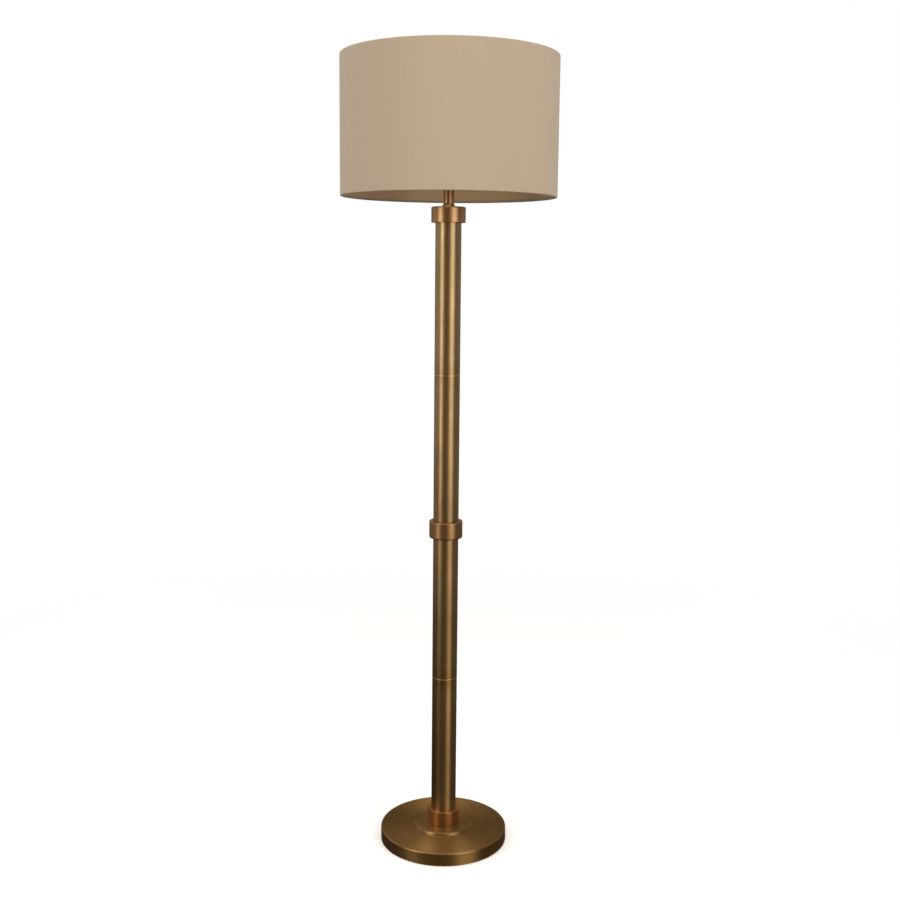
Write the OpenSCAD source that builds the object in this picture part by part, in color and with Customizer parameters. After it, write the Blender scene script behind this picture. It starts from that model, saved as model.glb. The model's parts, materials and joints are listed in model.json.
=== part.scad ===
// Column floor lamp with a drum shade.
// A round weighted base carries four equal brass tubes that screw together end to end. A lampholder and
// a wire harp stand on the neck above them, and the shade hangs from the harp on a three-armed spider.
// The origin is on the floor under the middle of the base. +Z is up and the front of the lamp faces -Y.

/* [Base] */
// Diameter of the base
base_d = 260; // [240:1:280]
// Height of the upright rim of the base
rim_h = 27; // [25:0.5:28]
// Diameter of the raised step in the middle of the base
step_d = 121; // [112:1:130]
// Height of the flat top of the step
step_h = 35; // [34:0.5:38]
// Thickness of the spun cover
cover_t = 1.5; // [1:0.1:2]
// Thickness of the felt under the base
felt_t = 2; // [1.5:0.5:2.5]

/* [Column] */
// Outside diameter of the tubes
tube_d = 50.8; // [48:0.1:52]
// Wall thickness of the tubes
tube_t = 1.2; // [0.8:0.1:1.5]
// Length of each of the four tubes
tube_len = 310; // [250:1:330]

/* [Collars] */
// Outside diameter of the bottom collar
bottom_collar_d = 66; // [62:0.5:70]
// Height of the bottom collar
bottom_collar_h = 31.5; // [26:0.5:40]
// Outside diameter of the middle and top collars
collar_d = 67; // [62:0.5:70]
// Height of the middle collar
mid_collar_h = 35; // [28:0.5:44]
// Height of the top collar
top_collar_h = 30; // [28:0.5:34]

/* [Neck and harp] */
// Diameter of the neck
neck_d = 21; // [18:0.5:24]
// Height of the neck
neck_h = 43; // [38:0.5:60]
// Height of the harp, from the saddle to the shade's seat
harp_h = 216; // [210:1:240]
// Width of the harp between the middles of its wires
harp_w = 116; // [104:1:130]

/* [Shade] */
// Outside diameter of the shade
shade_d = 418.4; // [380:0.2:440]
// Height of the shade
shade_h = 261; // [240:1:280]
// Depth of the shade's seat below its top edge
recess = 19; // [19:0.5:24]

/* [Hidden] */
$fn = 96;

// Colours
brass = [0.62, 0.48, 0.29];
warm_brass = [0.64, 0.43, 0.25];
bright_brass = [0.80, 0.66, 0.38];
zinc = [0.72, 0.72, 0.70];
iron = [0.20, 0.20, 0.21];
black = [0.07, 0.07, 0.07];
white = [0.90, 0.89, 0.86];
taupe = [0.73, 0.65, 0.55];

// Running clearance of a thread that is drawn as a plain cylinder
thread_gap = 0.05;
// Hollow pipe thread, M10
pipe_r = 4.85;
pipe_bore_r = 3.2;
pipe_hole_r = 5.3;

// Radii of the base
base_r = base_d / 2;
step_r = step_d / 2;
rim_z = 1;
rim_round = 3;
foot_round = 2;
shoulder_round = 4;

// Cast iron weight, with a boss that holds the cover up and a recess below for the washer and nut
weight_r = base_r - cover_t - 7;
weight_top = felt_t + 16;
cover_gap = 0.2;
boss_r = step_r - 12;
boss_top = step_h - cover_t - cover_gap;
recess_r = 24;
recess_top = felt_t + 12;
groove_w = 9;

// Washer, lock washer and nut in the recess, from the top down
washer_t = 2;
lock_washer_t = 1.5;
nut_h = 6;
nut_r = 9.8;
nut_top = recess_top - washer_t - lock_washer_t;

// Cord bushing in the rear of the rim
bushing_z = 9.5;
bushing_bore_r = 3.6;
bushing_r = 5.9;
bushing_flange_r = 8;
bushing_flange_t = 1;
bushing_barb = 1.4;
bushing_in = 4.5;
bushing_out = 2.5;

// Levels of the column, from the floor up
tube_count = 4;
tube_r = tube_d / 2;
tube_in_r = tube_r - tube_t;
collar_floor = 5;
column_z = step_h + collar_floor;
column_top = column_z + tube_count * tube_len;
function tube_z(k) = column_z + (k - 1) * tube_len;

// Plugs that close the tubes' ends
plug_h = 8;
plug_gap = 0.05;
spigot_h = 6;
spigot_gap = 0.5;
spigot_wall = 3;

// Collars
collar_gap = 0.2;
collar_round = 3;
edge_round = 0.6;
top_plate_t = 15.5;
top_plate_skin = 4.5;
top_hub_r = 9;
top_collar_z = column_top + top_plate_t - top_collar_h;
mid_collar_z = tube_z(3) - mid_collar_h / 2 - 0.5;

// Set screws in the backs of the collars
screw_r = 1.95;
screw_hole_r = 2;
screw_key_r = 1.15;
screw_key_depth = 3;
bottom_screw_z = column_z + 14;
mid_screw_z = mid_collar_z + mid_collar_h / 4;
top_screw_z = top_collar_z + 8;

// Neck
neck_z = column_top + top_plate_t;
neck_r = neck_d / 2;
flare_r = 14.5;
flare_h = 6;
flare_edge = 0.8;
cove_r = 4.5;

// Harp
saddle_z = neck_z + neck_h;
saddle_t = 1.5;
seat_z = saddle_z + saddle_t;
prong_x = 28.5;
prong_w = 4.4;
prong_h = 13;
wire_r = 1.6;
joint_gap = 0.5;
joint_swell = 0.05;
foot_gap = 2;
leg_x = prong_x + saddle_t + wire_r;
leg_h = 30;
bow_x = harp_w / 2;
bow_angle = 45;
bow_r = (bow_x - leg_x) / (2 * (1 - cos(bow_angle)));
ferrule_x = leg_x - 1;
ferrule_z = seat_z + 1;
ferrule_h = 13;
ferrule_round = 0.5;
ferrule_in_r = 3.2;
ferrule_r = 4.1;

// Seat of the shade on the harp
shade_seat = seat_z + harp_h;
eye_z = shade_seat - 4;
eye_r = 6;
eye_t = 3.6;
eye_gap = 0.1;
arch_z = eye_z - bow_x;
rivet_r = 2;
rivet_gap = 0.08;
rivet_head_r = 3.6;
rivet_head_t = 1.6;
stud_r = 3.1;
stud_h = 13;

// Lampholder
cap_h = 17;
cap_r = 17.6;
cap_t = 0.5;
cap_bulge_r = 9;
cap_hub_r = 8.5;
cap_hub_h = 7;
shell_r = 17;
shell_t = 0.6;
shell_z = seat_z + 13;
shell_h = 45;
sleeve_r = 16.3;
sleeve_t = 0.7;
body_z = seat_z + 15;
body_h = 20;
body_r = 15.4;
screw_shell_z = body_z + body_h;
screw_shell_h = 21;
screw_shell_r = 13.9;
screw_shell_t = 0.5;
terminal_x = 12.4;
terminal_z = body_z + 9;
switch_z = body_z + 10;
switch_hole_r = 3.2;
stem_r = 1.9;
stem_gap = 0.08;
stem_start = 4;
stem_end = 39;
knob_r = 6.5;
knob_h = 14;
knob_end = 43;

// Bulb, 60 mm across and 110 mm long
bulb_z = screw_shell_z + 3.3;
bulb_r = 30;
bulb_len = 110;
bulb_mid = bulb_z + bulb_len - bulb_r;
bulb_neck_r = 13;
bulb_cove_r = 40;
bulb_cap_r = 13.1;
bulb_thread = 0.7;
bulb_contact_h = 1.6;
insulator_top = 5;
insulator_r = 11.4;
cap_top = 22;
glass_t = 0.8;
cove_x = bulb_neck_r + bulb_cove_r;
cove_drop = sqrt(pow(bulb_r + bulb_cove_r, 2) - pow(cove_x, 2));
cove_angle = atan2(cove_drop, cove_x);

// Shade
shade_r = shade_d / 2;
shade_top = shade_seat + recess;
shade_bottom = shade_top - shade_h;
cloth_t = 0.4;
liner_t = 0.5;
hem_t = 0.5;
hem_w = 4.6;
hem_h = 6;
ring_r = 1.5;
ring_mid_r = shade_r - cloth_t - liner_t - ring_r - 0.1;
ring_inset = hem_t + ring_r + 0.3;
arm_r = 1.7;
arm_count = 3;
arm_corner_r = ring_mid_r - 24;
arm_bend = 10;
hub_r = 11;
hub_t = 1.6;
top_ring_z = shade_top - ring_inset;
bottom_ring_z = shade_bottom + ring_inset;
hub_z = shade_seat + 0.05;
arm_z = hub_z + arm_r - 0.4;

// Points of an arc of n chords about (x, y), from angle a0 to a1
function arc(x, y, r, a0, a1, n = 8) =
    [for (i = [0:n]) let (a = a0 + (a1 - a0) * i / n) [x + r * cos(a), y + r * sin(a)]];

// The same list, last point first
function reversed(list) = [for (i = [len(list) - 1:-1:0]) list[i]];

// The solid that an outline of radii and heights sweeps round Z
module turned(outline) {
    rotate_extrude() polygon(outline);
}

// A hollow round bar standing at height z
module pipe(z, h, r, bore_r) {
    translate([0, 0, z]) difference() {
        cylinder(h = h, r = r);
        translate([0, 0, -1]) cylinder(h = h + 2, r = bore_r);
    }
}

// A stretch of round bar between two points in the XZ plane, short of both by joint_gap
module rod(p, q, r) {
    d = q - p;
    translate([p[0], 0, p[1]]) rotate([0, atan2(d[0], d[1]), 0])
        translate([0, 0, joint_gap]) cylinder(h = norm(d) - 2 * joint_gap, r = r);
}

// A bend of round bar in the XZ plane, about the point c, short of both its ends by joint_gap
module bend(c, bend_r, r, a0, a1) {
    short = joint_gap / bend_r * 180 / PI;
    translate([c[0], 0, c[1]]) rotate([90, 0, 0]) rotate([0, 0, a0 + short])
        rotate_extrude(angle = a1 - a0 - 2 * short) translate([bend_r, 0]) circle(r = r);
}

// The weld that joins two stretches of bar at the point p, leaning from +Z towards +X by the angle a
module weld(p, a, r) {
    translate([p[0], 0, p[1]]) rotate([0, a, 0])
        translate([0, 0, -2 * joint_gap]) cylinder(h = 4 * joint_gap, r = r + joint_swell);
}

// Something along +Y from the axis, at height z
module rearward(z) {
    translate([0, 0, z]) rotate([-90, 0, 0]) children();
}

// Something along -Y from the axis, at height z
module forward(z) {
    translate([0, 0, z]) rotate([90, 0, 0]) children();
}

// ---- Base ----

module felt_pad() {
    color(black) pipe(0, felt_t, weight_r - 1, recess_r + 1);
}

module base_weight() {
    color(iron) difference() {
        union() {
            translate([0, 0, felt_t]) cylinder(h = weight_top - felt_t, r = weight_r);
            translate([0, 0, felt_t]) cylinder(h = boss_top - felt_t, r = boss_r);
        }
        cylinder(h = step_h, r = pipe_hole_r);
        cylinder(h = recess_top, r = recess_r);
        translate([-groove_w / 2, 0, 0]) cube([groove_w, base_r, recess_top]);
    }
}

// One face of the spun cover, set in from the outside by o
function cover_line(o) = concat(
    [[base_r - o, rim_z]],
    arc(base_r - rim_round, rim_h - rim_round, rim_round - o, 0, 88, 6),
    arc(step_r + foot_round, step_h - shoulder_round, foot_round + o, 268, 180, 6),
    arc(step_r - shoulder_round, step_h - shoulder_round, shoulder_round - o, 0, 90, 8),
    [[pipe_hole_r, step_h - o]]
);

module base_cover() {
    color(brass) difference() {
        turned(concat(cover_line(0), reversed(cover_line(cover_t))));
        rearward(bushing_z) cylinder(h = base_r + 1, r = bushing_r + 0.1);
    }
}

module base_nipple() {
    bottom = nut_top - nut_h - 1;
    color(zinc) pipe(bottom, column_z + plug_h - bottom, pipe_r, pipe_bore_r);
}

module base_washer() {
    color(zinc) pipe(recess_top - washer_t, washer_t, recess_r - 4, pipe_hole_r);
}

// A split ring
module base_lock_washer() {
    split = 1.5;
    color(zinc) difference() {
        pipe(nut_top, lock_washer_t, nut_r - 1.3, pipe_hole_r);
        translate([0, -split / 2, nut_top - 1]) cube([nut_r, split, lock_washer_t + 2]);
    }
}

module base_nut() {
    color(zinc) difference() {
        translate([0, 0, nut_top - nut_h]) cylinder(h = nut_h, r = nut_r, $fn = 6);
        cylinder(h = recess_top, r = pipe_r + thread_gap);
    }
}

// A flange outside the rim, a body through it and a barb inside that holds it in
module cord_bushing() {
    barb_end = base_r - cover_t - 0.4;
    barb_start = base_r - bushing_in;
    cone_h = bushing_out - bushing_flange_t;
    color(black) rearward(bushing_z) difference() {
        union() {
            translate([0, 0, barb_start]) cylinder(h = barb_end - barb_start, r = bushing_r + bushing_barb);
            translate([0, 0, barb_start]) cylinder(h = bushing_in, r = bushing_r);
            translate([0, 0, base_r]) cylinder(h = bushing_flange_t, r = bushing_flange_r);
            translate([0, 0, base_r + bushing_flange_t])
                cylinder(h = cone_h, r1 = bushing_flange_r, r2 = bushing_flange_r - 2);
        }
        cylinder(h = base_r + bushing_out + 1, r = bushing_bore_r);
    }
}

// ---- Collars ----

// A turned sleeve with rounded edges; bottom_round and top_round may be small but not zero
module sleeve(z, h, r, bottom_round, top_round, bore_r) {
    turned(concat(
        [[bore_r, z]],
        arc(r - bottom_round, z + bottom_round, bottom_round, 270, 360, 6),
        arc(r - top_round, z + h - top_round, top_round, 0, 90, 6),
        [[bore_r, z + h]]
    ));
}

// Hole for a set screw in the back of a collar
module screw_hole(z) {
    rearward(z) cylinder(h = 50, r = screw_hole_r, $fn = 48);
}

module bottom_collar() {
    color(warm_brass) difference() {
        sleeve(step_h, bottom_collar_h, bottom_collar_d / 2, edge_round, 1.5, pipe_hole_r);
        translate([0, 0, column_z]) cylinder(h = bottom_collar_h, r = tube_r + collar_gap);
        screw_hole(bottom_screw_z);
    }
}

module mid_collar() {
    color(warm_brass) difference() {
        sleeve(mid_collar_z, mid_collar_h, collar_d / 2, collar_round, collar_round, tube_r + collar_gap);
        screw_hole(mid_screw_z);
    }
}

// It closes the column with a plate, hollowed from below and held up by a hub over the last plug
module top_collar() {
    groove_z = top_collar_z + 4;
    groove_h = 0.6;
    groove_depth = 0.4;
    color(warm_brass) difference() {
        sleeve(top_collar_z, top_collar_h, collar_d / 2, edge_round, 2.5, pipe_hole_r);
        cylinder(h = column_top, r = tube_r + collar_gap);
        pipe(column_top - 1, top_plate_t - top_plate_skin + 1, tube_in_r - 1, top_hub_r);
        pipe(groove_z, groove_h, collar_d, collar_d / 2 - groove_depth);
        screw_hole(top_screw_z);
    }
}

// A headless set screw with a hexagon socket, just below the back of a collar of radius r
module set_screw(z, r) {
    point = tube_r + 0.1;
    end = r - 0.7;
    rearward(z) difference() {
        translate([0, 0, point]) cylinder(h = end - point, r = screw_r, $fn = 48);
        translate([0, 0, end - screw_key_depth]) cylinder(h = screw_key_depth + 1, r = screw_key_r, $fn = 6);
    }
}

module set_screws() {
    color(zinc) {
        set_screw(bottom_screw_z, bottom_collar_d / 2);
        set_screw(mid_screw_z, collar_d / 2);
        set_screw(top_screw_z, collar_d / 2);
    }
}

// ---- Column ----

module tube(k) {
    edge = 0.4;
    color(brass) translate([0, 0, tube_z(k)]) turned([
        [tube_in_r, 0], [tube_r - edge, 0], [tube_r, edge],
        [tube_r, tube_len - edge], [tube_r - edge, tube_len], [tube_in_r, tube_len]
    ]);
}

// The plug in a tube's lower end; above the first tube it stands over the spigot of the tube below
module foot_plug(k) {
    up = k == 1 ? 0 : spigot_h + spigot_gap;
    color(zinc) pipe(tube_z(k) + up, plug_h, tube_in_r - plug_gap, pipe_r + thread_gap);
}

// The plug in a tube's upper end, with a ring on it that centres the next tube
module head_plug(k) {
    color(zinc) {
        pipe(tube_z(k + 1) - plug_h, plug_h, tube_in_r - plug_gap, pipe_r + thread_gap);
        if (k < tube_count)
            pipe(tube_z(k + 1) - 1, spigot_h + 1, tube_in_r - plug_gap, tube_in_r - spigot_wall);
    }
}

module joint_nipple(k) {
    color(zinc) pipe(tube_z(k + 1) - plug_h, 2 * plug_h + spigot_h, pipe_r, pipe_bore_r);
}

// ---- Neck and harp ----

module neck() {
    color(warm_brass) turned(concat(
        [[pipe_hole_r, neck_z], [flare_r, neck_z], [flare_r, neck_z + flare_edge]],
        arc(neck_r + cove_r, neck_z + flare_h, cove_r, 256, 180, 8),
        [[neck_r, saddle_z], [pipe_hole_r, saddle_z]]
    ));
}

module neck_nipple() {
    bottom = column_top - plug_h;
    color(zinc) pipe(bottom, seat_z + 8 - bottom, pipe_r, pipe_bore_r);
}

module harp_saddle() {
    half_w = prong_x + saddle_t;
    strap_w = 16;
    color(bright_brass) {
        difference() {
            translate([-half_w, -strap_w / 2, saddle_z]) cube([2 * half_w, strap_w, saddle_t]);
            translate([0, 0, saddle_z - 1]) cylinder(h = saddle_t + 2, r = pipe_hole_r);
        }
        for (side = [0, 1]) mirror([side, 0, 0])
            translate([prong_x, -prong_w / 2, saddle_z]) cube([saddle_t, prong_w, prong_h + saddle_t]);
    }
}

// One leg of the harp: up from its foot, out in an S and up again to the arch
module harp_leg() {
    foot_z = seat_z + foot_gap;
    bow_z = foot_z + leg_h;
    s_width = bow_r * (1 - cos(bow_angle));
    s_height = bow_r * sin(bow_angle);
    straight_z = bow_z + 2 * s_height;
    rod([leg_x, foot_z], [leg_x, bow_z], wire_r);
    weld([leg_x, bow_z], 0, wire_r);
    bend([leg_x + bow_r, bow_z], bow_r, wire_r, 180 - bow_angle, 180);
    weld([leg_x + s_width, bow_z + s_height], bow_angle, wire_r);
    bend([bow_x - bow_r, straight_z], bow_r, wire_r, -bow_angle, 0);
    weld([bow_x, straight_z], 0, wire_r);
    rod([bow_x, straight_z], [bow_x, arch_z], wire_r);
    weld([bow_x, arch_z], 0, wire_r);
}

module harp() {
    color(bright_brass) difference() {
        union() {
            harp_leg();
            mirror([1, 0, 0]) harp_leg();
            bend([0, arch_z], bow_x, wire_r, 0, 180);
            translate([0, 0, eye_z - eye_t / 2]) cylinder(h = eye_t, r = eye_r);
        }
        translate([0, 0, eye_z - eye_t]) cylinder(h = 2 * eye_t, r = rivet_r + rivet_gap);
    }
}

module ferrule(x) {
    color(bright_brass) translate([x, 0, 0])
        sleeve(ferrule_z, ferrule_h, ferrule_r, ferrule_round, ferrule_round, ferrule_in_r);
}

// A rivet through the harp's eye, with a shoulder above it for the shade and a threaded end for the finial
module harp_stud() {
    head_z = eye_z - eye_t / 2 - eye_gap - rivet_head_t;
    shoulder_z = eye_z + eye_t / 2 + eye_gap;
    color(bright_brass) {
        translate([0, 0, head_z]) cylinder(h = rivet_head_t, r = rivet_head_r);
        translate([0, 0, head_z + 1]) cylinder(h = shade_seat - head_z - 2, r = rivet_r);
        translate([0, 0, shoulder_z]) cylinder(h = shade_seat - shoulder_z, r = eye_r);
        translate([0, 0, shade_seat]) cylinder(h = stud_h, r = stud_r);
    }
}

// ---- Lampholder ----

// The cup that the shell snaps into, with a threaded hub on the neck's nipple
module socket_cap() {
    bore_r = pipe_r + thread_gap;
    bulge_z = seat_z + 4 + cap_bulge_r;
    cap_in_r = cap_r - cap_t;
    color(bright_brass) turned(concat(
        [[bore_r, seat_z], [cap_hub_r, seat_z], [cap_hub_r, seat_z + 4]],
        arc(cap_hub_r, bulge_z, cap_bulge_r, 270, 350, 8),
        [[cap_r, seat_z + cap_h], [cap_in_r, seat_z + cap_h], [cap_in_r, bulge_z]],
        arc(cap_hub_r, bulge_z, cap_bulge_r - 0.8, 350, 280, 8),
        [[cap_hub_r - 1.5, seat_z + cap_hub_h], [bore_r, seat_z + cap_hub_h]]
    ));
}

module socket_shell() {
    color(bright_brass) difference() {
        pipe(shell_z + 1, shell_h - 1, shell_r, shell_r - shell_t);
        forward(switch_z) cylinder(h = cap_r + 1, r = switch_hole_r, $fn = 48);
    }
}

module socket_sleeve() {
    color([0.55, 0.45, 0.33]) difference() {
        pipe(shell_z + 1.5, shell_h - 3, sleeve_r, sleeve_r - sleeve_t);
        forward(switch_z) cylinder(h = cap_r + 1, r = switch_hole_r, $fn = 48);
    }
}

module switch_body() {
    color(black) difference() {
        translate([0, 0, body_z]) cylinder(h = body_h, r = body_r);
        for (side = [0, 1]) mirror([side, 0, 0])
            translate([terminal_x, -6, terminal_z - 6]) cube([6, 12, 12]);
        forward(switch_z)
            translate([0, 0, stem_start - 1]) cylinder(h = body_r, r = stem_r + stem_gap, $fn = 48);
    }
}

module terminal_screws() {
    head_h = 2.4;
    slot_w = 0.8;
    color(bright_brass) for (side = [0, 1]) mirror([side, 0, 0])
        translate([terminal_x, 0, terminal_z]) rotate([0, 90, 0]) difference() {
            cylinder(h = head_h, r = 3, $fn = 48);
            translate([-slot_w / 2, -4, head_h - slot_w]) cube([slot_w, 8, 2]);
        }
}

module screw_shell() {
    color(bright_brass) {
        pipe(screw_shell_z, screw_shell_h, screw_shell_r, screw_shell_r - screw_shell_t);
        pipe(screw_shell_z, screw_shell_t, screw_shell_r, 8);
    }
}

module centre_contact() {
    color(bright_brass) translate([0, 0, screw_shell_z]) {
        cylinder(h = 2, r = 1.5);
        translate([0, 0, 2]) cylinder(h = 1, r1 = 3.5, r2 = 2.5);
    }
}

module switch_stem() {
    color(bright_brass) forward(switch_z)
        translate([0, 0, stem_start]) cylinder(h = stem_end - stem_start, r = stem_r, $fn = 48);
}

module switch_knob() {
    flutes = 12;
    edge = 1;
    knob_z = knob_end - knob_h;
    color(black) forward(switch_z) difference() {
        union() {
            translate([0, 0, knob_z]) cylinder(h = knob_h - edge, r = knob_r);
            translate([0, 0, knob_end - edge]) cylinder(h = edge, r1 = knob_r, r2 = knob_r - edge);
        }
        translate([0, 0, knob_z - 1])
            cylinder(h = stem_end + 1.5 - knob_z, r = stem_r + thread_gap, $fn = 48);
        for (i = [0:flutes - 1]) rotate([0, 0, i * 360 / flutes])
            translate([knob_r + 0.5, 0, knob_z + 3]) cylinder(h = knob_h, r = 1, $fn = 24);
    }
}

// ---- Bulb ----

// One face of the glass, set in from the outside by o
function bulb_line(o) = concat(
    [[bulb_neck_r - o, bulb_z + cap_top]],
    arc(cove_x, bulb_mid - cove_drop, bulb_cove_r + o, 180, 180 - cove_angle, 10),
    arc(0, bulb_mid, bulb_r - o, -cove_angle, 90, 24)
);

module bulb_glass() {
    color([0.95, 0.95, 0.93]) turned(concat(bulb_line(0), reversed(bulb_line(glass_t))));
}

// Four rounded turns of thread stand for the screw cap's
module bulb_cap() {
    turns = 4;
    pitch = 3.6;
    valley_r = bulb_cap_r - bulb_thread;
    low = bulb_z + insulator_top;
    lip = bulb_z + cap_top - 0.1;
    lip_r = bulb_neck_r + 0.1;
    color(zinc) turned(concat(
        [[insulator_r, low], [valley_r, low]],
        [for (i = [0:turns - 1]) each arc(valley_r, low + pitch * (i + 0.5), bulb_thread, -90, 90, 4)],
        [[lip_r, lip - 1.3], [lip_r, lip], [insulator_r, lip]]
    ));
}

module bulb_insulator() {
    color(black) translate([0, 0, bulb_z + bulb_contact_h])
        cylinder(h = insulator_top - bulb_contact_h, r1 = 4.8, r2 = insulator_r);
}

module bulb_contact() {
    color(zinc) translate([0, 0, bulb_z]) cylinder(h = bulb_contact_h, r1 = 3, r2 = 4.6);
}

// ---- Shade ----

// The three arms, each out along the hub's level and then bent up to the top ring
module arms(r) {
    rise = atan2(top_ring_z - arm_z, ring_mid_r - arm_corner_r);
    back = arm_bend * tan(rise / 2);
    bend_start = [arm_corner_r - back, arm_z];
    bend_end = [arm_corner_r + back * cos(rise), arm_z + back * sin(rise)];
    for (i = [0:arm_count - 1]) rotate([0, 0, 90 + i * 360 / arm_count]) {
        rod([stud_r + 5, arm_z], bend_start, r);
        weld(bend_start, 90, r);
        bend(bend_start + [0, arm_bend], arm_bend, r, -90, rise - 90);
        weld(bend_end, 90 - rise, r);
        rod(bend_end, [ring_mid_r, top_ring_z], r);
    }
}

module shade_spider() {
    color(bright_brass) {
        difference() {
            translate([0, 0, hub_z]) cylinder(h = hub_t, r = hub_r);
            translate([0, 0, hub_z - 1]) cylinder(h = hub_t + 2, r = stud_r + 0.2);
        }
        arms(arm_r);
    }
}

module ring(z) {
    color(white) translate([0, 0, z])
        rotate_extrude() translate([ring_mid_r, 0]) circle(r = ring_r, $fn = 48);
}

module shade_top_ring() {
    ring(top_ring_z);
}

module shade_bottom_ring() {
    ring(bottom_ring_z);
}

module shade_liner() {
    out_r = shade_r - cloth_t - 0.02;
    color(white) pipe(shade_bottom + hem_t + 0.1, shade_h - 2 * hem_t - 0.2, out_r, out_r - liner_t);
}

// The cloth's outside wall with its edges rolled in over the two rings
module shade_cloth() {
    lip_r = shade_r - hem_w;
    color(taupe) difference() {
        turned([
            [shade_r, shade_bottom], [shade_r, shade_top],
            [lip_r, shade_top], [lip_r, shade_top - hem_h],
            [lip_r + cloth_t, shade_top - hem_h], [lip_r + cloth_t, shade_top - hem_t],
            [shade_r - cloth_t, shade_top - hem_t], [shade_r - cloth_t, shade_bottom + hem_t],
            [lip_r + cloth_t, shade_bottom + hem_t], [lip_r + cloth_t, shade_bottom + hem_h],
            [lip_r, shade_bottom + hem_h], [lip_r, shade_bottom]
        ]);
        // slits where the spider's arms pass the rolled edge
        arms(arm_r + 0.5);
    }
}

// A ball on a coved foot, screwed down on the stud
module finial() {
    base = hub_z + hub_t + 0.1;
    foot_r = 7;
    foot_t = 1.4;
    waist_r = 4.2;
    cove = 1.6;
    ball_r = 6.2;
    top = shade_top - 1;
    hole_h = shade_seat + stud_h + 0.5 - base;
    color(warm_brass) difference() {
        turned(concat(
            [[0, base], [foot_r, base], [foot_r, base + foot_t]],
            arc(waist_r + cove, base + foot_t + cove, cove, 270, 180, 5),
            arc(0, top - ball_r, ball_r, -42, 90, 16)
        ));
        translate([0, 0, base - 1]) cylinder(h = hole_h + 1, r = stud_r + thread_gap, $fn = 48);
    }
}

felt_pad();
base_weight();
base_cover();
base_nipple();
base_washer();
base_lock_washer();
base_nut();
cord_bushing();
bottom_collar();
tube(1);  // tube_1
tube(2);  // tube_2
tube(3);  // tube_3
tube(4);  // tube_4
foot_plug(1);  // foot_plug_1
foot_plug(2);  // foot_plug_2
foot_plug(3);  // foot_plug_3
foot_plug(4);  // foot_plug_4
head_plug(1);  // head_plug_1
head_plug(2);  // head_plug_2
head_plug(3);  // head_plug_3
head_plug(4);  // head_plug_4
joint_nipple(1);  // joint_nipple_1
joint_nipple(2);  // joint_nipple_2
joint_nipple(3);  // joint_nipple_3
mid_collar();
top_collar();
set_screws();
neck();
neck_nipple();
harp_saddle();
harp();
ferrule(-ferrule_x);  // ferrule_left
ferrule(ferrule_x);  // ferrule_right
harp_stud();
socket_cap();
socket_shell();
socket_sleeve();
switch_body();
terminal_screws();
screw_shell();
centre_contact();
switch_stem();
switch_knob();
bulb_glass();
bulb_cap();
bulb_insulator();
bulb_contact();
shade_spider();
shade_top_ring();
shade_bottom_ring();
shade_liner();
shade_cloth();
finial();
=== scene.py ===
"""Looks for the column floor lamp: materials, the shade's cloth, the floor, the lights and the camera.

Lengths are in metres, and angles in radians unless a comment says degrees. The lamp's places come from the
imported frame. The lamp stands on z = 0 with its column on the Z axis, and its front faces -Y.
"""

import json
import math

import bmesh
import bpy
import numpy
from mathutils import Matrix, Vector

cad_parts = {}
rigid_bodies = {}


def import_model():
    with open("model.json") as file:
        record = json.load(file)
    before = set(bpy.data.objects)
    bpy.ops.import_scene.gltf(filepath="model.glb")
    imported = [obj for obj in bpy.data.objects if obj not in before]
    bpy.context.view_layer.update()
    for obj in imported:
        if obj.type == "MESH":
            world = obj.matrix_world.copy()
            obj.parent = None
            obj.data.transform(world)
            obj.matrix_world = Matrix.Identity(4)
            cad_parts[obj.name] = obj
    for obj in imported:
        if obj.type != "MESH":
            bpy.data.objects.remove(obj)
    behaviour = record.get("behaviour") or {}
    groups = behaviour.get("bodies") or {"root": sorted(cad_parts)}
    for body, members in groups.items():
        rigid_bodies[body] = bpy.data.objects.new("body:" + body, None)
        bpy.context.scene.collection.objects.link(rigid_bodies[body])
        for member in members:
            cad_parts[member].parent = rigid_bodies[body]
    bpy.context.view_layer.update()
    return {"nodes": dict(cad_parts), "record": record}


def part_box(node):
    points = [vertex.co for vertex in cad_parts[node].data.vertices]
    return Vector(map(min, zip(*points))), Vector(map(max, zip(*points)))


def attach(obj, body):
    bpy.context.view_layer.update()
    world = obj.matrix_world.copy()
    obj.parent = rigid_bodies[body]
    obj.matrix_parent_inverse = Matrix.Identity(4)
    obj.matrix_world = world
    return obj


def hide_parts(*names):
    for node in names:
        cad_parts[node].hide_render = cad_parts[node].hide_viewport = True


for leftover in list(bpy.data.objects):
    bpy.data.objects.remove(leftover)
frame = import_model()
NODES = frame["nodes"]
SCENE = bpy.context.scene

# ---------------------------------------------------------------- camera

EYE = Vector((0.0, -2.3115, 1.1752))
LENS_MM = 46.885
SENSOR_MM = 36.0
YAW = 0.0030
PITCH = 0.1525
ROLL = 0.0092


def make_camera():
    """The photograph's viewing angle: above the middle of the lamp, looking slightly down."""
    data = bpy.data.cameras.new("camera")
    data.lens = LENS_MM
    data.sensor_width = SENSOR_MM
    camera = bpy.data.objects.new("camera", data)
    SCENE.collection.objects.link(camera)
    ahead = Vector((math.sin(YAW) * math.cos(PITCH), math.cos(YAW) * math.cos(PITCH), -math.sin(PITCH)))
    level = Vector((math.cos(YAW), -math.sin(YAW), 0.0))
    lift = level.cross(ahead)
    right = math.cos(ROLL) * level + math.sin(ROLL) * lift
    up = right.cross(ahead)
    camera.matrix_world = Matrix.Translation(EYE) @ Matrix((right, up, -ahead)).transposed().to_4x4()
    SCENE.camera = camera


# ---------------------------------------------------------------- lights

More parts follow.
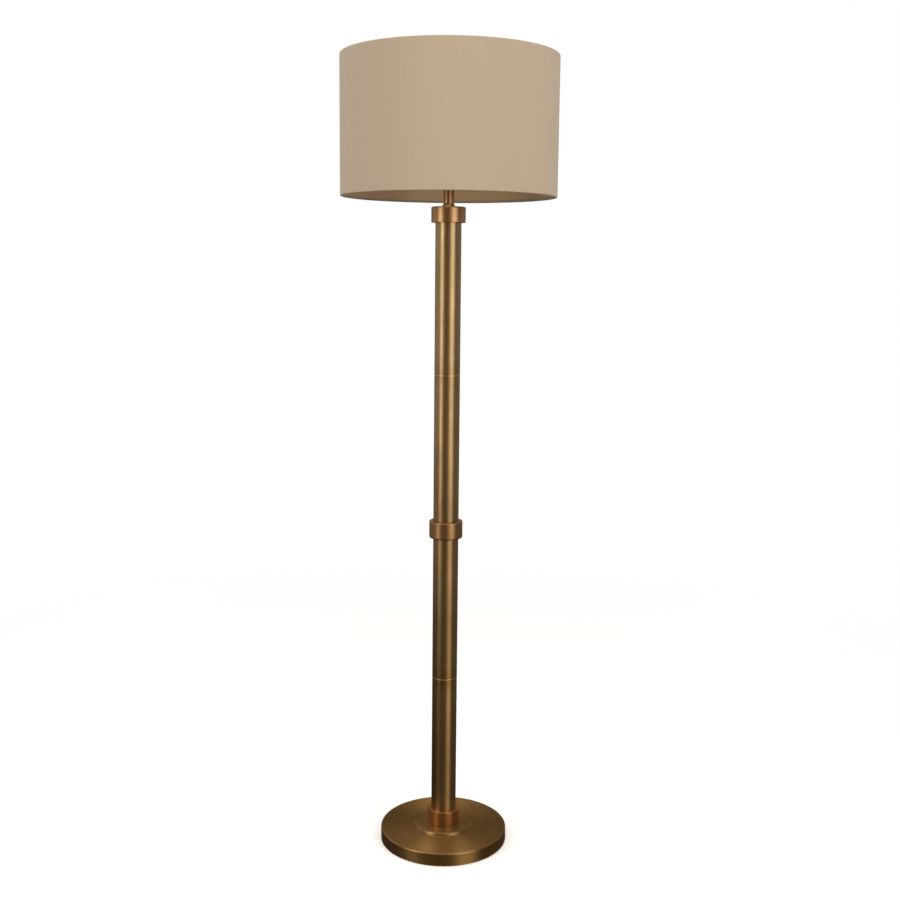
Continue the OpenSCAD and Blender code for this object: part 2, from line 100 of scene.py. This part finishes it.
# The strips stand round the lamp, and go on below the floor as their reflections in it would. Their light
# turns from their own tint at TINT_TOP to the brown of the studio's floor at TINT_FOOT.
STRIP_AWAY = 2.19
STRIP_TOP = 3.0
STRIP_FOOT = -1.4
STRIP_PARTS = 12
TINT_TOP = 1.0
TINT_FOOT = -0.8
WHITE_TINT = (1.0, 0.95, 0.92)
AMBER_TINT = (1.0, 0.62, 0.20)
FLOOR_TINT = (1.0, 0.74, 0.46)
# heights at which each strip's radiance is given; it changes evenly between them
STRIP_HEIGHTS = (-1.1, -0.8, -0.15, 0.15, 1.0)
# name: degrees to the right from the camera's side of the lamp, width, tint, radiances
STRIPS = {
    "left": (-55.0, 0.84, WHITE_TINT, (0.12, 0.13, 0.09, 1.7, 3.5)),
    "right": (40.0, 1.32, WHITE_TINT, (0.10, 1.05, 0.95, 1.55, 2.7)),
    "front": (-8.0, 2.30, AMBER_TINT, (0.08, 0.08, 0.07, 0.09, 0.13)),
    "side_left": (-108.0, 2.10, WHITE_TINT, (0.0, 0.0, 0.04, 0.32, 0.55)),
    "side_right": (108.0, 2.20, WHITE_TINT, (0.0, 0.10, 0.12, 0.20, 0.32)),
    "back_left": (-149.0, 0.30, WHITE_TINT, (0.0, 0.25, 0.4, 0.6, 0.9)),
    "back_right": (147.0, 0.30, WHITE_TINT, (0.0, 0.25, 0.4, 0.6, 1.0)),
}
# name: place, aim, width, height, watts, colour, seen in the metal
SOFT_LIGHTS = {
    "front_soft": ((2.8, -2.4, 1.7), (0, 0, 1.3), 2.0, 2.0, 11.5, (1.0, 0.98, 0.96), False),
    "overhead": ((0.0, -0.2, 3.6), (0, 0, 0), 3.0, 3.0, 24, (1.0, 0.97, 0.93), True),
    "back_wall": ((0.0, 2.6, 1.5), (0, 0, 1.0), 3.4, 1.8, 0.3, (1.0, 0.80, 0.55), True),
    "back_tall": ((0.0, 2.4, 1.3), (0, 0, 1.3), 0.45, 2.6, 1.0, (1.0, 0.80, 0.52), True),
    "back_high": ((0.0, 2.1, 2.9), (0, 0, 0.0), 0.6, 0.9, 8.0, (1.0, 0.84, 0.60), True),
    "above": ((0.0, -0.9, 3.4), (0, 0, 0.0), 0.8, 0.8, 3.5, (1.0, 0.90, 0.72), True),
}


def make_light(name, place, aim, width, height, watts, colour):
    data = bpy.data.lights.new(name, "AREA")
    data.shape = "RECTANGLE"
    data.size = width
    data.size_y = height
    data.energy = watts
    data.color = colour
    light = bpy.data.objects.new(name, data)
    light.location = place
    light.rotation_euler = (Vector(aim) - Vector(place)).to_track_quat("-Z", "Y").to_euler()
    light.visible_camera = False
    SCENE.collection.objects.link(light)
    return light


def make_strips():
    """Tall strips round the lamp, in parts, so that each can fade and change its tint towards the floor."""
    part_h = (STRIP_TOP - STRIP_FOOT) / STRIP_PARTS
    for side, (azimuth, width, high_tint, radiances) in STRIPS.items():
        x = STRIP_AWAY * math.sin(math.radians(azimuth))
        y = -STRIP_AWAY * math.cos(math.radians(azimuth))
        for k in range(STRIP_PARTS):
            z = STRIP_FOOT + (k + 0.5) * part_h
            watts = float(numpy.interp(z, STRIP_HEIGHTS, radiances)) * math.pi * width * part_h
            share = min(1.0, max(0.0, (z - TINT_FOOT) / (TINT_TOP - TINT_FOOT)))
            tint = [low + (high - low) * share for low, high in zip(FLOOR_TINT, high_tint)]
            make_light(f"strip_{side}_{k}", (x, y, z), (0, 0, z), width, part_h, watts, tint)


def make_soft_lights():
    """A wide light from the front for what is matt, and others that show in the metal too."""
    for name, (*light, in_metal) in SOFT_LIGHTS.items():
        make_light(name, *light).visible_glossy = in_metal


# ---------------------------------------------------------------- world and floor

WHITE = (1.0, 1.0, 1.0, 1)
AMBIENT_ABOVE = (0.375, 0.375, 0.37, 1)
AMBIENT_BELOW = (0.14, 0.135, 0.13, 1)
DARK_ABOVE = (0.030, 0.016, 0.004, 1)
DARK_BELOW = (0.012, 0.006, 0.002, 1)
# the rise of a direction, either side of level, at which the world has wholly changed colour
HORIZON_BLEND = 0.25


def make_world():
    """White to the eye, an even light from above on what is matt, and a dim warm studio in what is
    polished."""
    world = bpy.data.worlds.new("studio")
    SCENE.world = world
    world.use_nodes = True
    nodes = world.node_tree.nodes
    links = world.node_tree.links
    nodes.clear()

    def background(colour):
        made = nodes.new("ShaderNodeBackground")
        made.inputs["Color"].default_value = colour
        return made.outputs[0]

    def mixed(factor, low, high):
        made = nodes.new("ShaderNodeMixShader")
        for socket, value in zip(made.inputs, (factor, low, high)):
            links.new(value, socket)
        return made.outputs[0]

    rays = nodes.new("ShaderNodeLightPath").outputs
    split = nodes.new("ShaderNodeSeparateXYZ")
    links.new(nodes.new("ShaderNodeTexCoord").outputs["Generated"], split.inputs[0])
    height = nodes.new("ShaderNodeMapRange")
    height.inputs["From Min"].default_value = -HORIZON_BLEND
    height.inputs["From Max"].default_value = HORIZON_BLEND
    links.new(split.outputs["Z"], height.inputs["Value"])
    matt = mixed(height.outputs[0], background(AMBIENT_BELOW), background(AMBIENT_ABOVE))
    polished = mixed(height.outputs[0], background(DARK_BELOW), background(DARK_ABOVE))
    lit = mixed(rays["Is Glossy Ray"], matt, polished)
    seen = mixed(rays["Is Camera Ray"], lit, background(WHITE))
    links.new(seen, nodes.new("ShaderNodeOutputWorld").inputs[0])


FLOOR_RADIUS = 3.0
FLOOR_SIDES = 96
FLOOR_COLOUR = (0.93, 0.93, 0.93, 1)
FLOOR_ROUGHNESS = 0.9
FLOOR_GLOW = 0.25
FADE_START = 0.6
FADE_END = 2.3


def floor_paint():
    """Pale paint that fades into the white background away from the lamp, and is clear from below."""
    paint = bpy.data.materials.new("floor_paint")
    paint.use_nodes = True
    nodes = paint.node_tree.nodes
    links = paint.node_tree.links
    shader = nodes["Principled BSDF"]
    shader.inputs["Base Color"].default_value = FLOOR_COLOUR
    shader.inputs["Roughness"].default_value = FLOOR_ROUGHNESS
    shader.inputs["Emission Color"].default_value = WHITE
    shader.inputs["Emission Strength"].default_value = FLOOR_GLOW
    place = nodes.new("ShaderNodeTexCoord")
    length = nodes.new("ShaderNodeVectorMath")
    length.operation = "LENGTH"
    fade = nodes.new("ShaderNodeMapRange")
    fade.inputs["From Min"].default_value = FADE_START
    fade.inputs["From Max"].default_value = FADE_END
    facing = nodes.new("ShaderNodeNewGeometry")
    hidden = nodes.new("ShaderNodeMath")
    hidden.operation = "MAXIMUM"
    clear = nodes.new("ShaderNodeBsdfTransparent")
    mix = nodes.new("ShaderNodeMixShader")
    links.new(place.outputs["Object"], length.inputs[0])
    links.new(length.outputs["Value"], fade.inputs["Value"])
    links.new(fade.outputs["Result"], hidden.inputs[0])
    links.new(facing.outputs["Backfacing"], hidden.inputs[1])
    links.new(hidden.outputs[0], mix.inputs[0])
    links.new(shader.outputs[0], mix.inputs[1])
    links.new(clear.outputs[0], mix.inputs[2])
    links.new(mix.outputs[0], nodes["Material Output"].inputs["Surface"])
    return paint


def make_floor():
    """A wide disc that lends the lamp no light or reflection, and casts no shadow on it."""
    mesh = bpy.data.meshes.new("floor")
    bm = bmesh.new()
    bmesh.ops.create_circle(bm, cap_ends=True, radius=FLOOR_RADIUS, segments=FLOOR_SIDES)
    bm.to_mesh(mesh)
    bm.free()
    floor = bpy.data.objects.new("floor", mesh)
    SCENE.collection.objects.link(floor)
    floor.visible_glossy = False
    floor.visible_diffuse = False
    floor.visible_shadow = False
    mesh.materials.append(floor_paint())


# ---------------------------------------------------------------- material building blocks

# most of a noise's values lie between these
NOISE_LOW = 0.3
NOISE_HIGH = 0.7


class Paint:
    """A new node material with its Principled shader, and short ways to add the nodes that drive it."""

    def __init__(self, name, colour, roughness, metallic=0.0):
        self.material = bpy.data.materials.new(name)
        self.material.use_nodes = True
        self.tree = self.material.node_tree
        self.shader = self.tree.nodes["Principled BSDF"]
        self.fix("Base Color", (*colour, 1))
        self.fix("Roughness", roughness)
        self.fix("Metallic", metallic)
        self.place = self.node("TexCoord").outputs["Object"]

    def fix(self, name, value):
        """Gives one of the shader's sockets the same value all over."""
        self.shader.inputs[name].default_value = value

    def drive(self, name, socket):
        """Lets another node's output set one of the shader's sockets."""
        self.link(socket, self.shader.inputs[name])

    def node(self, kind, **settings):
        made = self.tree.nodes.new("ShaderNode" + kind)
        for key, value in settings.items():
            setattr(made, key, value)
        return made

    def link(self, a, b):
        self.tree.links.new(a, b)

    def stretched(self, scale, source=None):
        """The place, or another vector, multiplied by scale along each axis."""
        mapping = self.node("Mapping")
        mapping.inputs["Scale"].default_value = scale
        self.link(source or self.place, mapping.inputs["Vector"])
        return mapping.outputs["Vector"]

    def split(self, vector):
        """The outputs X, Y and Z of a vector."""
        made = self.node("SeparateXYZ")
        self.link(vector, made.inputs[0])
        return made.outputs

    def from_axis(self):
        """The distance from the column's axis."""
        made = self.node("VectorMath", operation="LENGTH")
        self.link(self.stretched((1, 1, 0)), made.inputs[0])
        return made.outputs["Value"]

    def noise(self, vector, scale=1.0, detail=3.0, roughness=0.5):
        made = self.node("TexNoise")
        made.inputs["Scale"].default_value = scale
        made.inputs["Detail"].default_value = detail
        made.inputs["Roughness"].default_value = roughness
        self.link(vector, made.inputs["Vector"])
        return made.outputs["Fac"]

    def ranged(self, value, low, high, to_low, to_high):
        """The value, carried over from the span low to high to the span to_low to to_high."""
        made = self.node("MapRange")
        self.link(value, made.inputs["Value"])
        for name, number in zip(("From Min", "From Max", "To Min", "To Max"), (low, high, to_low, to_high)):
            made.inputs[name].default_value = number
        return made.outputs["Result"]

    def spread(self, noise, to_low, to_high):
        """A noise, carried over to the span to_low to to_high."""
        return self.ranged(noise, NOISE_LOW, NOISE_HIGH, to_low, to_high)

    def mixed(self, factor, a, b, blend="MIX"):
        """a blended with b by the socket factor; a and b are colours or sockets."""
        made = self.node("Mix", data_type="RGBA", blend_type=blend)
        for value, socket in ((factor, made.inputs[0]), (a, made.inputs[6]), (b, made.inputs[7])):
            if isinstance(value, bpy.types.NodeSocket):
                self.link(value, socket)
            else:
                socket.default_value = (*value, 1)
        return made.outputs[2]

    def calc(self, operation, a, b=0.0):
        """A Math node's result for socket a and, where it takes two, socket or number b."""
        made = self.node("Math", operation=operation)
        self.link(a, made.inputs[0])
        if isinstance(b, bpy.types.NodeSocket):
            self.link(b, made.inputs[1])
        else:
            made.inputs[1].default_value = b
        return made.outputs[0]

    def bump(self, height, strength, distance):
        made = self.node("Bump")
        made.inputs["Strength"].default_value = strength
        made.inputs["Distance"].default_value = distance
        self.link(height, made.inputs["Height"])
        self.drive("Normal", made.outputs["Normal"])


def scaled(colour, factor):
    return tuple(c * factor for c in colour)


# ---------------------------------------------------------------- brass

# how many times a metre each pattern changes, along X, Y and Z
TURNED_LINES = (6, 6, 1100)
PLAIN_GRAIN = (700, 700, 700)
CLOUDS = (9, 9, 5)
RING_DRIFT = (7, 7, 7)
# the same outwards from the column's axis, and in every direction
RINGS = 900.0
SPOTS = 150.0
# how much darker the patina is, the tone of the lines before the patina is taken off it, and their strength
PATINA = 0.35
LINE_TONE = 0.85
LINE_SHARE = 0.25
# how far a spun disc's gloss is drawn out, and its direction as a share of a full circle
SPUN_STRETCH = 0.7
QUARTER_TURN = 0.25


def brass(name, colour, roughness, patina=PATINA, lay="turned", seams=False):
    """Lacquered antique brass: fine polishing lines, a cloudy brown patina and small dull spots. The lines
    run round the column, or in rings on a spun disc. A plain lay is an even grain, for small parts."""
    p = Paint(name, colour, roughness, metallic=1.0)
    if lay == "spun":
        lines = p.noise(ring_coordinates(p), detail=2.0)
    else:
        lines = p.noise(p.stretched(TURNED_LINES if lay == "turned" else PLAIN_GRAIN), detail=2.0)
    clouds = p.noise(p.stretched(CLOUDS), detail=4.0, roughness=0.6)
    spots = p.noise(p.place, SPOTS, roughness=0.7)
    mottled = p.mixed(p.ranged(clouds, 0.38, 0.68, 0, 1), colour, scaled(colour, 1 - patina))
    dark = scaled(colour, LINE_TONE - patina)
    lined = p.mixed(p.ranged(lines, 0.3, 0.75, 0, LINE_SHARE), mottled, dark)
    p.drive("Base Color", seam_wear(p, lined) if seams else lined)
    rough = p.spread(clouds, roughness - 0.02, roughness + 0.04)
    p.drive("Roughness", p.calc("ADD", rough, p.ranged(spots, 0.3, 0.75, -0.01, 0.02)))
    p.bump(lines, strength=0.012, distance=0.0001)
    if lay == "spun":
        p.fix("Anisotropic", SPUN_STRETCH)
        p.fix("Anisotropic Rotation", QUARTER_TURN)
        p.drive("Tangent", p.node("Tangent", direction_type="RADIAL", axis="Z").outputs["Tangent"])
    return p.material


def ring_coordinates(p):
    """A vector whose X is the distance from the column's axis, in polishing lines, and whose Y and Z change
    slowly with the place, so that noise in it draws long rings."""
    drift = p.split(p.stretched(RING_DRIFT))
    joined = p.node("CombineXYZ")
    p.link(p.calc("MULTIPLY", p.from_axis(), RINGS), joined.inputs["X"])
    p.link(drift["X"], joined.inputs["Y"])
    p.link(drift["Y"], joined.inputs["Z"])
    return joined.outputs[0]


SEAM_EDGE = 0.0011
SEAM_STAIN = 0.030
STAIN_SHARE = 0.30
SEAM_BROWN = (0.75, 0.55, 0.40)
SEAM_YELLOW = (0.75, 0.50, 0.16)


def seam_wear(p, colour):
    """The tubes' ends: bare yellow brass on the very edge, and a darker stain where hands tighten the joint.
    The tubes are equally long, so the ends lie at whole numbers of tubes above the first one's foot."""
    foot, head = (corner.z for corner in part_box("tube_1"))
    turns = p.calc("DIVIDE", p.calc("SUBTRACT", p.split(p.place)["Z"], foot), head - foot)
    off = p.calc("ABSOLUTE", p.calc("SUBTRACT", p.calc("ROUND", turns), turns))
    away = p.calc("MULTIPLY", off, head - foot)
    stained = p.mixed(p.ranged(away, 0.0, SEAM_STAIN, STAIN_SHARE, 0.0), colour, SEAM_BROWN, "MULTIPLY")
    return p.mixed(p.ranged(away, SEAM_EDGE / 2, SEAM_EDGE, 1.0, 0.0), stained, SEAM_YELLOW)


# ---------------------------------------------------------------- other materials


def steel(name, colour, roughness):
    p = Paint(name, colour, roughness, metallic=1.0)
    grain = p.noise(p.place, 500.0)
    p.drive("Roughness", p.spread(grain, roughness - 0.06, roughness + 0.08))
    p.bump(grain, strength=0.08, distance=0.0001)
    return p.material


def cast_iron(name, colour):
    """Sand-cast iron under thin black paint."""
    p = Paint(name, colour, roughness=0.7, metallic=0.2)
    grain = p.noise(p.place, 260.0, detail=5.0, roughness=0.7)
    p.drive("Base Color", p.mixed(grain, colour, scaled(colour, 2.2)))
    p.bump(grain, strength=0.5, distance=0.0006)
    return p.material


def plastic(name, colour, roughness):
    p = Paint(name, colour, roughness)
    grain = p.noise(p.place, 900.0, detail=2.0)
    p.drive("Roughness", p.spread(grain, roughness - 0.05, roughness + 0.07))
    p.bump(grain, strength=0.05, distance=0.0001)
    return p.material


BOARD_FIBRES = (300, 300, 60)


def board(name, colour):
    """Fibre board of the insulating sleeve."""
    p = Paint(name, colour, roughness=0.85)
    fibres = p.noise(p.stretched(BOARD_FIBRES), 3.0, detail=5.0)
    p.drive("Base Color", p.mixed(fibres, scaled(colour, 0.8), scaled(colour, 1.2)))
    p.bump(fibres, strength=0.2, distance=0.0002)
    return p.material


def frosted_glass(name, colour):
    p = Paint(name, colour, roughness=0.35)
    p.fix("Subsurface Weight", 0.2)
    p.fix("Subsurface Radius", (0.01, 0.01, 0.01))
    grain = p.noise(p.place, 1200.0, detail=2.0)
    p.drive("Roughness", p.spread(grain, 0.30, 0.40))
    return p.material


def felt(name, colour):
    p = Paint(name, colour, roughness=0.95)
    p.fix("Sheen Weight", 0.6)
    fibres = p.noise(p.place, 900.0, detail=6.0, roughness=0.75)
    p.drive("Base Color", p.mixed(fibres, scaled(colour, 0.6), scaled(colour, 1.8)))
    p.bump(fibres, strength=0.7, distance=0.0006)
    return p.material


def liner_plastic(name, colour):
    """The styrene lining: smooth, faintly orange-peeled, and slightly uneven in tone."""
    p = Paint(name, colour, roughness=0.6)
    tone = p.noise(p.place, 8.0)
    peel = p.noise(p.place, 300.0, detail=2.0)
    p.drive("Base Color", p.mixed(tone, scaled(colour, 0.95), scaled(colour, 1.04)))
    p.bump(peel, strength=0.1, distance=0.0002)
    return p.material


# ---------------------------------------------------------------- woven cloth

THREAD = 0.00042
# how many times a metre each pattern changes, along the cloth and up it
WARP_SLUBS = (520, 22, 1)
WEFT_SLUBS = (30, 560, 1)
BROAD_BANDS = (26, 5, 1)
# where the cloth is rolled in over the rings, its colour is darkened as painted shade of the hem's crease
# and underside: the change starts this far inside the wall
HEM_DEPTH = 0.0012
HEM_PAINTED_SHADE = 0.55


def woven_cloth(name, colour):
    """Plain-woven cotton and silk mix: fine warp and weft, slubs that run up the cloth and along it, and a
    soft sheen. Where it is rolled in over the rings, its colour is darkened as painted shade. It reads the
    cloth's UV map, which is in metres along the cloth and up it."""
    p = Paint(name, colour, roughness=0.82)
    p.fix("Sheen Weight", 0.25)
    p.fix("Sheen Roughness", 0.4)
    uv = p.node("TexCoord").outputs["UV"]
    warp = p.noise(p.stretched(WARP_SLUBS, uv), roughness=0.55)
    weft = p.noise(p.stretched(WEFT_SLUBS, uv), roughness=0.55)
    broad = p.noise(p.stretched(BROAD_BANDS, uv), detail=2.0)
    tone = p.mixed(p.ranged(warp, 0.3, 0.72, 0, 1), scaled(colour, 0.965), scaled(colour, 1.03))
    tone = p.mixed(p.ranged(weft, 0.35, 0.75, 0, 0.5), tone, scaled(colour, 1.06))
    tone = p.mixed(p.spread(broad, 0, 0.5), tone, scaled(colour, 0.97))
    # painted shade: the rolled-in hem is darkened in the cloth's colour
    p.drive("Base Color", p.mixed(rolled_in(p), tone, scaled(colour, HEM_PAINTED_SHADE)))
    height = p.calc("ADD", p.ranged(thread_relief(p, uv), -1, 1, 0, 0.6), p.ranged(warp, 0.2, 0.8, 0, 0.5))
    height = p.calc("ADD", height, p.ranged(weft, 0.2, 0.8, 0, 0.4))
    p.bump(height, strength=0.35, distance=0.00015)
    return p.material


def thread_relief(p, uv):
    """The ups and downs of the crossing threads, from -1 to 1."""
    sides = p.split(uv)
    waves = [p.calc("SINE", p.calc("MULTIPLY", sides[axis], math.tau / THREAD)) for axis in ("X", "Y")]
    return p.calc("MULTIPLY", waves[0], waves[1])


def rolled_in(p):
    """0 on the shade's wall, and 1 where the cloth is rolled in over the rings and gets painted shade."""
    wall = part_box("shade_cloth")[1].x
    return p.ranged(p.from_axis(), wall - 2 * HEM_DEPTH, wall - HEM_DEPTH, 1.0, 0.0)


# ---------------------------------------------------------------- materials of the lamp

BRASS = (0.46, 0.325, 0.165)
WARM = (0.50, 0.30, 0.145)
# painted reflection: the bottom collar's brass is made more orange to stand in for warm light bounced off
# the base
PAINTED_BOUNCE_ORANGE = (0.56, 0.29, 0.12)
BRIGHT = (0.80, 0.62, 0.33)
BASE_BRASS = (0.48, 0.295, 0.115)

MATERIALS = {
    "antique_brass": brass("antique_brass", BRASS, 0.34, seams=True),
    "spun_brass": brass("spun_brass", BASE_BRASS, 0.40, lay="spun"),
    "warm_brass": brass("warm_brass", WARM, 0.36),
    "brass_painted_base_bounce": brass("brass_painted_base_bounce", PAINTED_BOUNCE_ORANGE, 0.36),
    "bright_brass": brass("bright_brass", BRIGHT, 0.2, patina=0.12, lay="plain"),
    "zinc_steel": steel("zinc_steel", (0.62, 0.62, 0.60), 0.35),
    "nickel": steel("nickel", (0.70, 0.68, 0.62), 0.25),
    "cast_iron": cast_iron("cast_iron", (0.035, 0.035, 0.037)),
    "felt": felt("felt", (0.02, 0.02, 0.022)),
    "bushing_plastic": plastic("bushing_plastic", (0.02, 0.018, 0.016), 0.5),
    "phenolic": plastic("phenolic", (0.015, 0.012, 0.010), 0.3),
    "knob_plastic": plastic("knob_plastic", (0.014, 0.013, 0.012), 0.35),
    "sleeve_board": board("sleeve_board", (0.40, 0.28, 0.16)),
    "frosted_glass": frosted_glass("frosted_glass", (0.93, 0.93, 0.90)),
    "white_wire": plastic("white_wire", (0.75, 0.72, 0.66), 0.4),
    # partly painted light: the lining's tan is made warm to stand in for light tinted by passing through the
    # cloth
    "liner_plastic": liner_plastic("liner_plastic", (0.43, 0.295, 0.175)),
    "shade_cloth": woven_cloth("shade_cloth", (0.475, 0.386, 0.277)),
}
# nodes whose look differs from their slot's; the bottom collar's more orange brass is a painted reflection
# of warm light bounced up from the base
OWN_LOOK = {"base_cover": "spun_brass", "bottom_collar": "brass_painted_base_bounce"}


def dress_nodes():
    """Every CAD node gets the material of its slot in the record, or its own."""
    for part in frame["record"]["subparts"]:
        mesh = NODES[part["node"]].data
        mesh.materials.clear()
        mesh.materials.append(MATERIALS[OWN_LOOK.get(part["node"], part["material_slot"])])


# ---------------------------------------------------------------- round pieces


def angles(steps):
    return [math.tau * k / steps for k in range(steps)]


def stand_up(bm, outline, angle):
    """New points for an outline of (radius, height), at an angle round the Z axis."""
    return [bm.verts.new((r * math.cos(angle), r * math.sin(angle), z)) for r, z in outline]


def close_round(bm, rows):
    """Faces from every row of points to the next one, all round. Gives each with its row and its point."""
    faces = []
    for k, here in enumerate(rows):
        there = rows[(k + 1) % len(rows)]
        for i in range(len(here)):
            j = (i + 1) % len(here)
            faces.append((k, i, bm.faces.new((here[i], there[i], there[j], here[j]))))
    return faces


def new_object(name, bm, material, smooth):
    mesh = bpy.data.meshes.new(name)
    bmesh.ops.recalc_face_normals(bm, faces=bm.faces)
    bm.normal_update()
    bm.to_mesh(mesh)
    bm.free()
    for polygon in mesh.polygons:
        polygon.use_smooth = smooth
    mesh.materials.append(material)
    made = bpy.data.objects.new(name, mesh)
    SCENE.collection.objects.link(made)
    return made


# ---------------------------------------------------------------- the shade's cloth

CLOTH_T = 0.0004
CLOTH_STEPS = 720
# heights of the wall's points, as shares of half its height
WALL_SHARES = (0.0, 0.5, 0.85, 0.97)
# the cloth rolled in over a ring: its width on top, its lip's length down inside, and the round of its edges
HEM_WIDTH = 0.0046
HEM_LIP = 0.0040
EDGE_ROUND = 0.0008
EDGE_STEPS = 3
# the lap at the back: its width, the width over which its rise starts and ends, and its angle
LAP = 0.012
LAP_RAMP = 0.0025
LAP_ANGLE = math.pi / 2
# the notches for the spider's arms, in degrees, and the lip that is left in them
ARM_ANGLES = (90, 210, 330)
NOTCH_HALF_ANGLE = 0.8
NOTCH_LIP = 0.0009


def hem_curve(radius, half, inset, lip):
    """One face of the cloth from the middle of the wall over an edge and down the lip, as (radius, height);
    the face lies inset from the outside."""
    bend = EDGE_ROUND - inset
    curve = [(radius - inset, half * share) for share in WALL_SHARES]
    for centre_x, first in ((radius - EDGE_ROUND, 0), (radius - HEM_WIDTH + EDGE_ROUND, 90)):
        for step in range(EDGE_STEPS + 1):
            angle = math.radians(first + 90 * step / EDGE_STEPS)
            curve.append((centre_x + bend * math.cos(angle), half - EDGE_ROUND + bend * math.sin(angle)))
    inner_x = radius - HEM_WIDTH + inset
    curve += [(inner_x, half - (EDGE_ROUND + lip) / 2), (inner_x, half - lip)]
    return curve


def cloth_section(radius, half, upper_lip):
    """The closed outline of the cloth's thickness: its outside from the lower lip to the upper one, then its
    inside back again."""
    faces = []
    for inset in (0.0, CLOTH_T):
        lower = [(x, -z) for x, z in hem_curve(radius, half, inset, HEM_LIP)]
        faces.append(lower[:0:-1] + hem_curve(radius, half, inset, upper_lip))
    return faces[0] + faces[1][::-1]


def from_angle(angle, other):
    """How far angle is from the other, the shorter way round."""
    return abs((angle - other + math.pi) % math.tau - math.pi)


def lap_rise(angle, radius):
    """How far the outside stands proud where the cloth's end lies over its beginning."""
    from_lap = from_angle(angle, LAP_ANGLE) * radius
    return CLOTH_T * min(1.0, max(0.0, (LAP / 2 - from_lap) / LAP_RAMP + 0.5))


def at_arm(angle):
    """Whether one of the spider's arms passes here."""
    notch = math.radians(NOTCH_HALF_ANGLE)
    return any(from_angle(angle, math.radians(arm)) < notch for arm in ARM_ANGLES)


def distances_along(outline):
    """How far each point of a closed outline is along it from the first one, and then its whole length."""
    climb = [0.0]
    for here, there in zip(outline, outline[1:] + outline[:1]):
        climb.append(climb[-1] + math.dist(here, there))
    return climb


def make_cloth():
    """The shade's cloth, one strip drawn round the lining, lapped at the back and rolled in over both rings.
    The upper roll is notched where the spider's arms pass."""
    low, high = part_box("shade_cloth")
    radius = high.x
    middle = (low.z + high.z) / 2
    half = (high.z - low.z) / 2
    whole = cloth_section(radius, half, HEM_LIP)
    notched = cloth_section(radius, half, NOTCH_LIP)
    climb = distances_along(whole)
    bm = bmesh.new()
    uv = bm.loops.layers.uv.new("along")
    rows = []
    for angle in angles(CLOTH_STEPS):
        proud = lap_rise(angle, radius)
        section = notched if at_arm(angle) else whole
        outline = [(x + proud if x > radius - EDGE_ROUND else x, middle + z) for x, z in section]
        rows.append(stand_up(bm, outline, angle))
    for k, i, face in close_round(bm, rows):
        for loop, (u, v) in zip(face.loops, ((k, i), (k + 1, i), (k + 1, i + 1), (k, i + 1))):
            loop[uv].uv = (math.tau * radius * u / CLOTH_STEPS, climb[v])
    cloth = new_object("cloth_cover", bm, MATERIALS["shade_cloth"], smooth=True)
    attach(cloth, "shade")
    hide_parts("shade_cloth")


# ---------------------------------------------------------------- the base's felt

FELT_STEPS = 160
FELT_HOLE_R = 0.025
FELT_EDGE = 0.0004


def make_felt():
    """The felt ring glued under the weight."""
    low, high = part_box("felt_pad")
    outline = [
        (FELT_HOLE_R, low.z),
        (high.x - FELT_EDGE, low.z),
        (high.x, low.z + FELT_EDGE),
        (high.x, high.z),
        (FELT_HOLE_R, high.z),
    ]
    bm = bmesh.new()
    close_round(bm, [stand_up(bm, outline, angle) for angle in angles(FELT_STEPS)])
    pad = new_object("felt_ring", bm, MATERIALS["felt"], smooth=False)
    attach(pad, "stand")
    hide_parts("felt_pad")


make_camera()
make_world()
make_floor()
make_strips()
make_soft_lights()
dress_nodes()
make_cloth()
make_felt()
SCENE.view_settings.view_transform = "Standard"
SCENE.view_settings.look = "None"
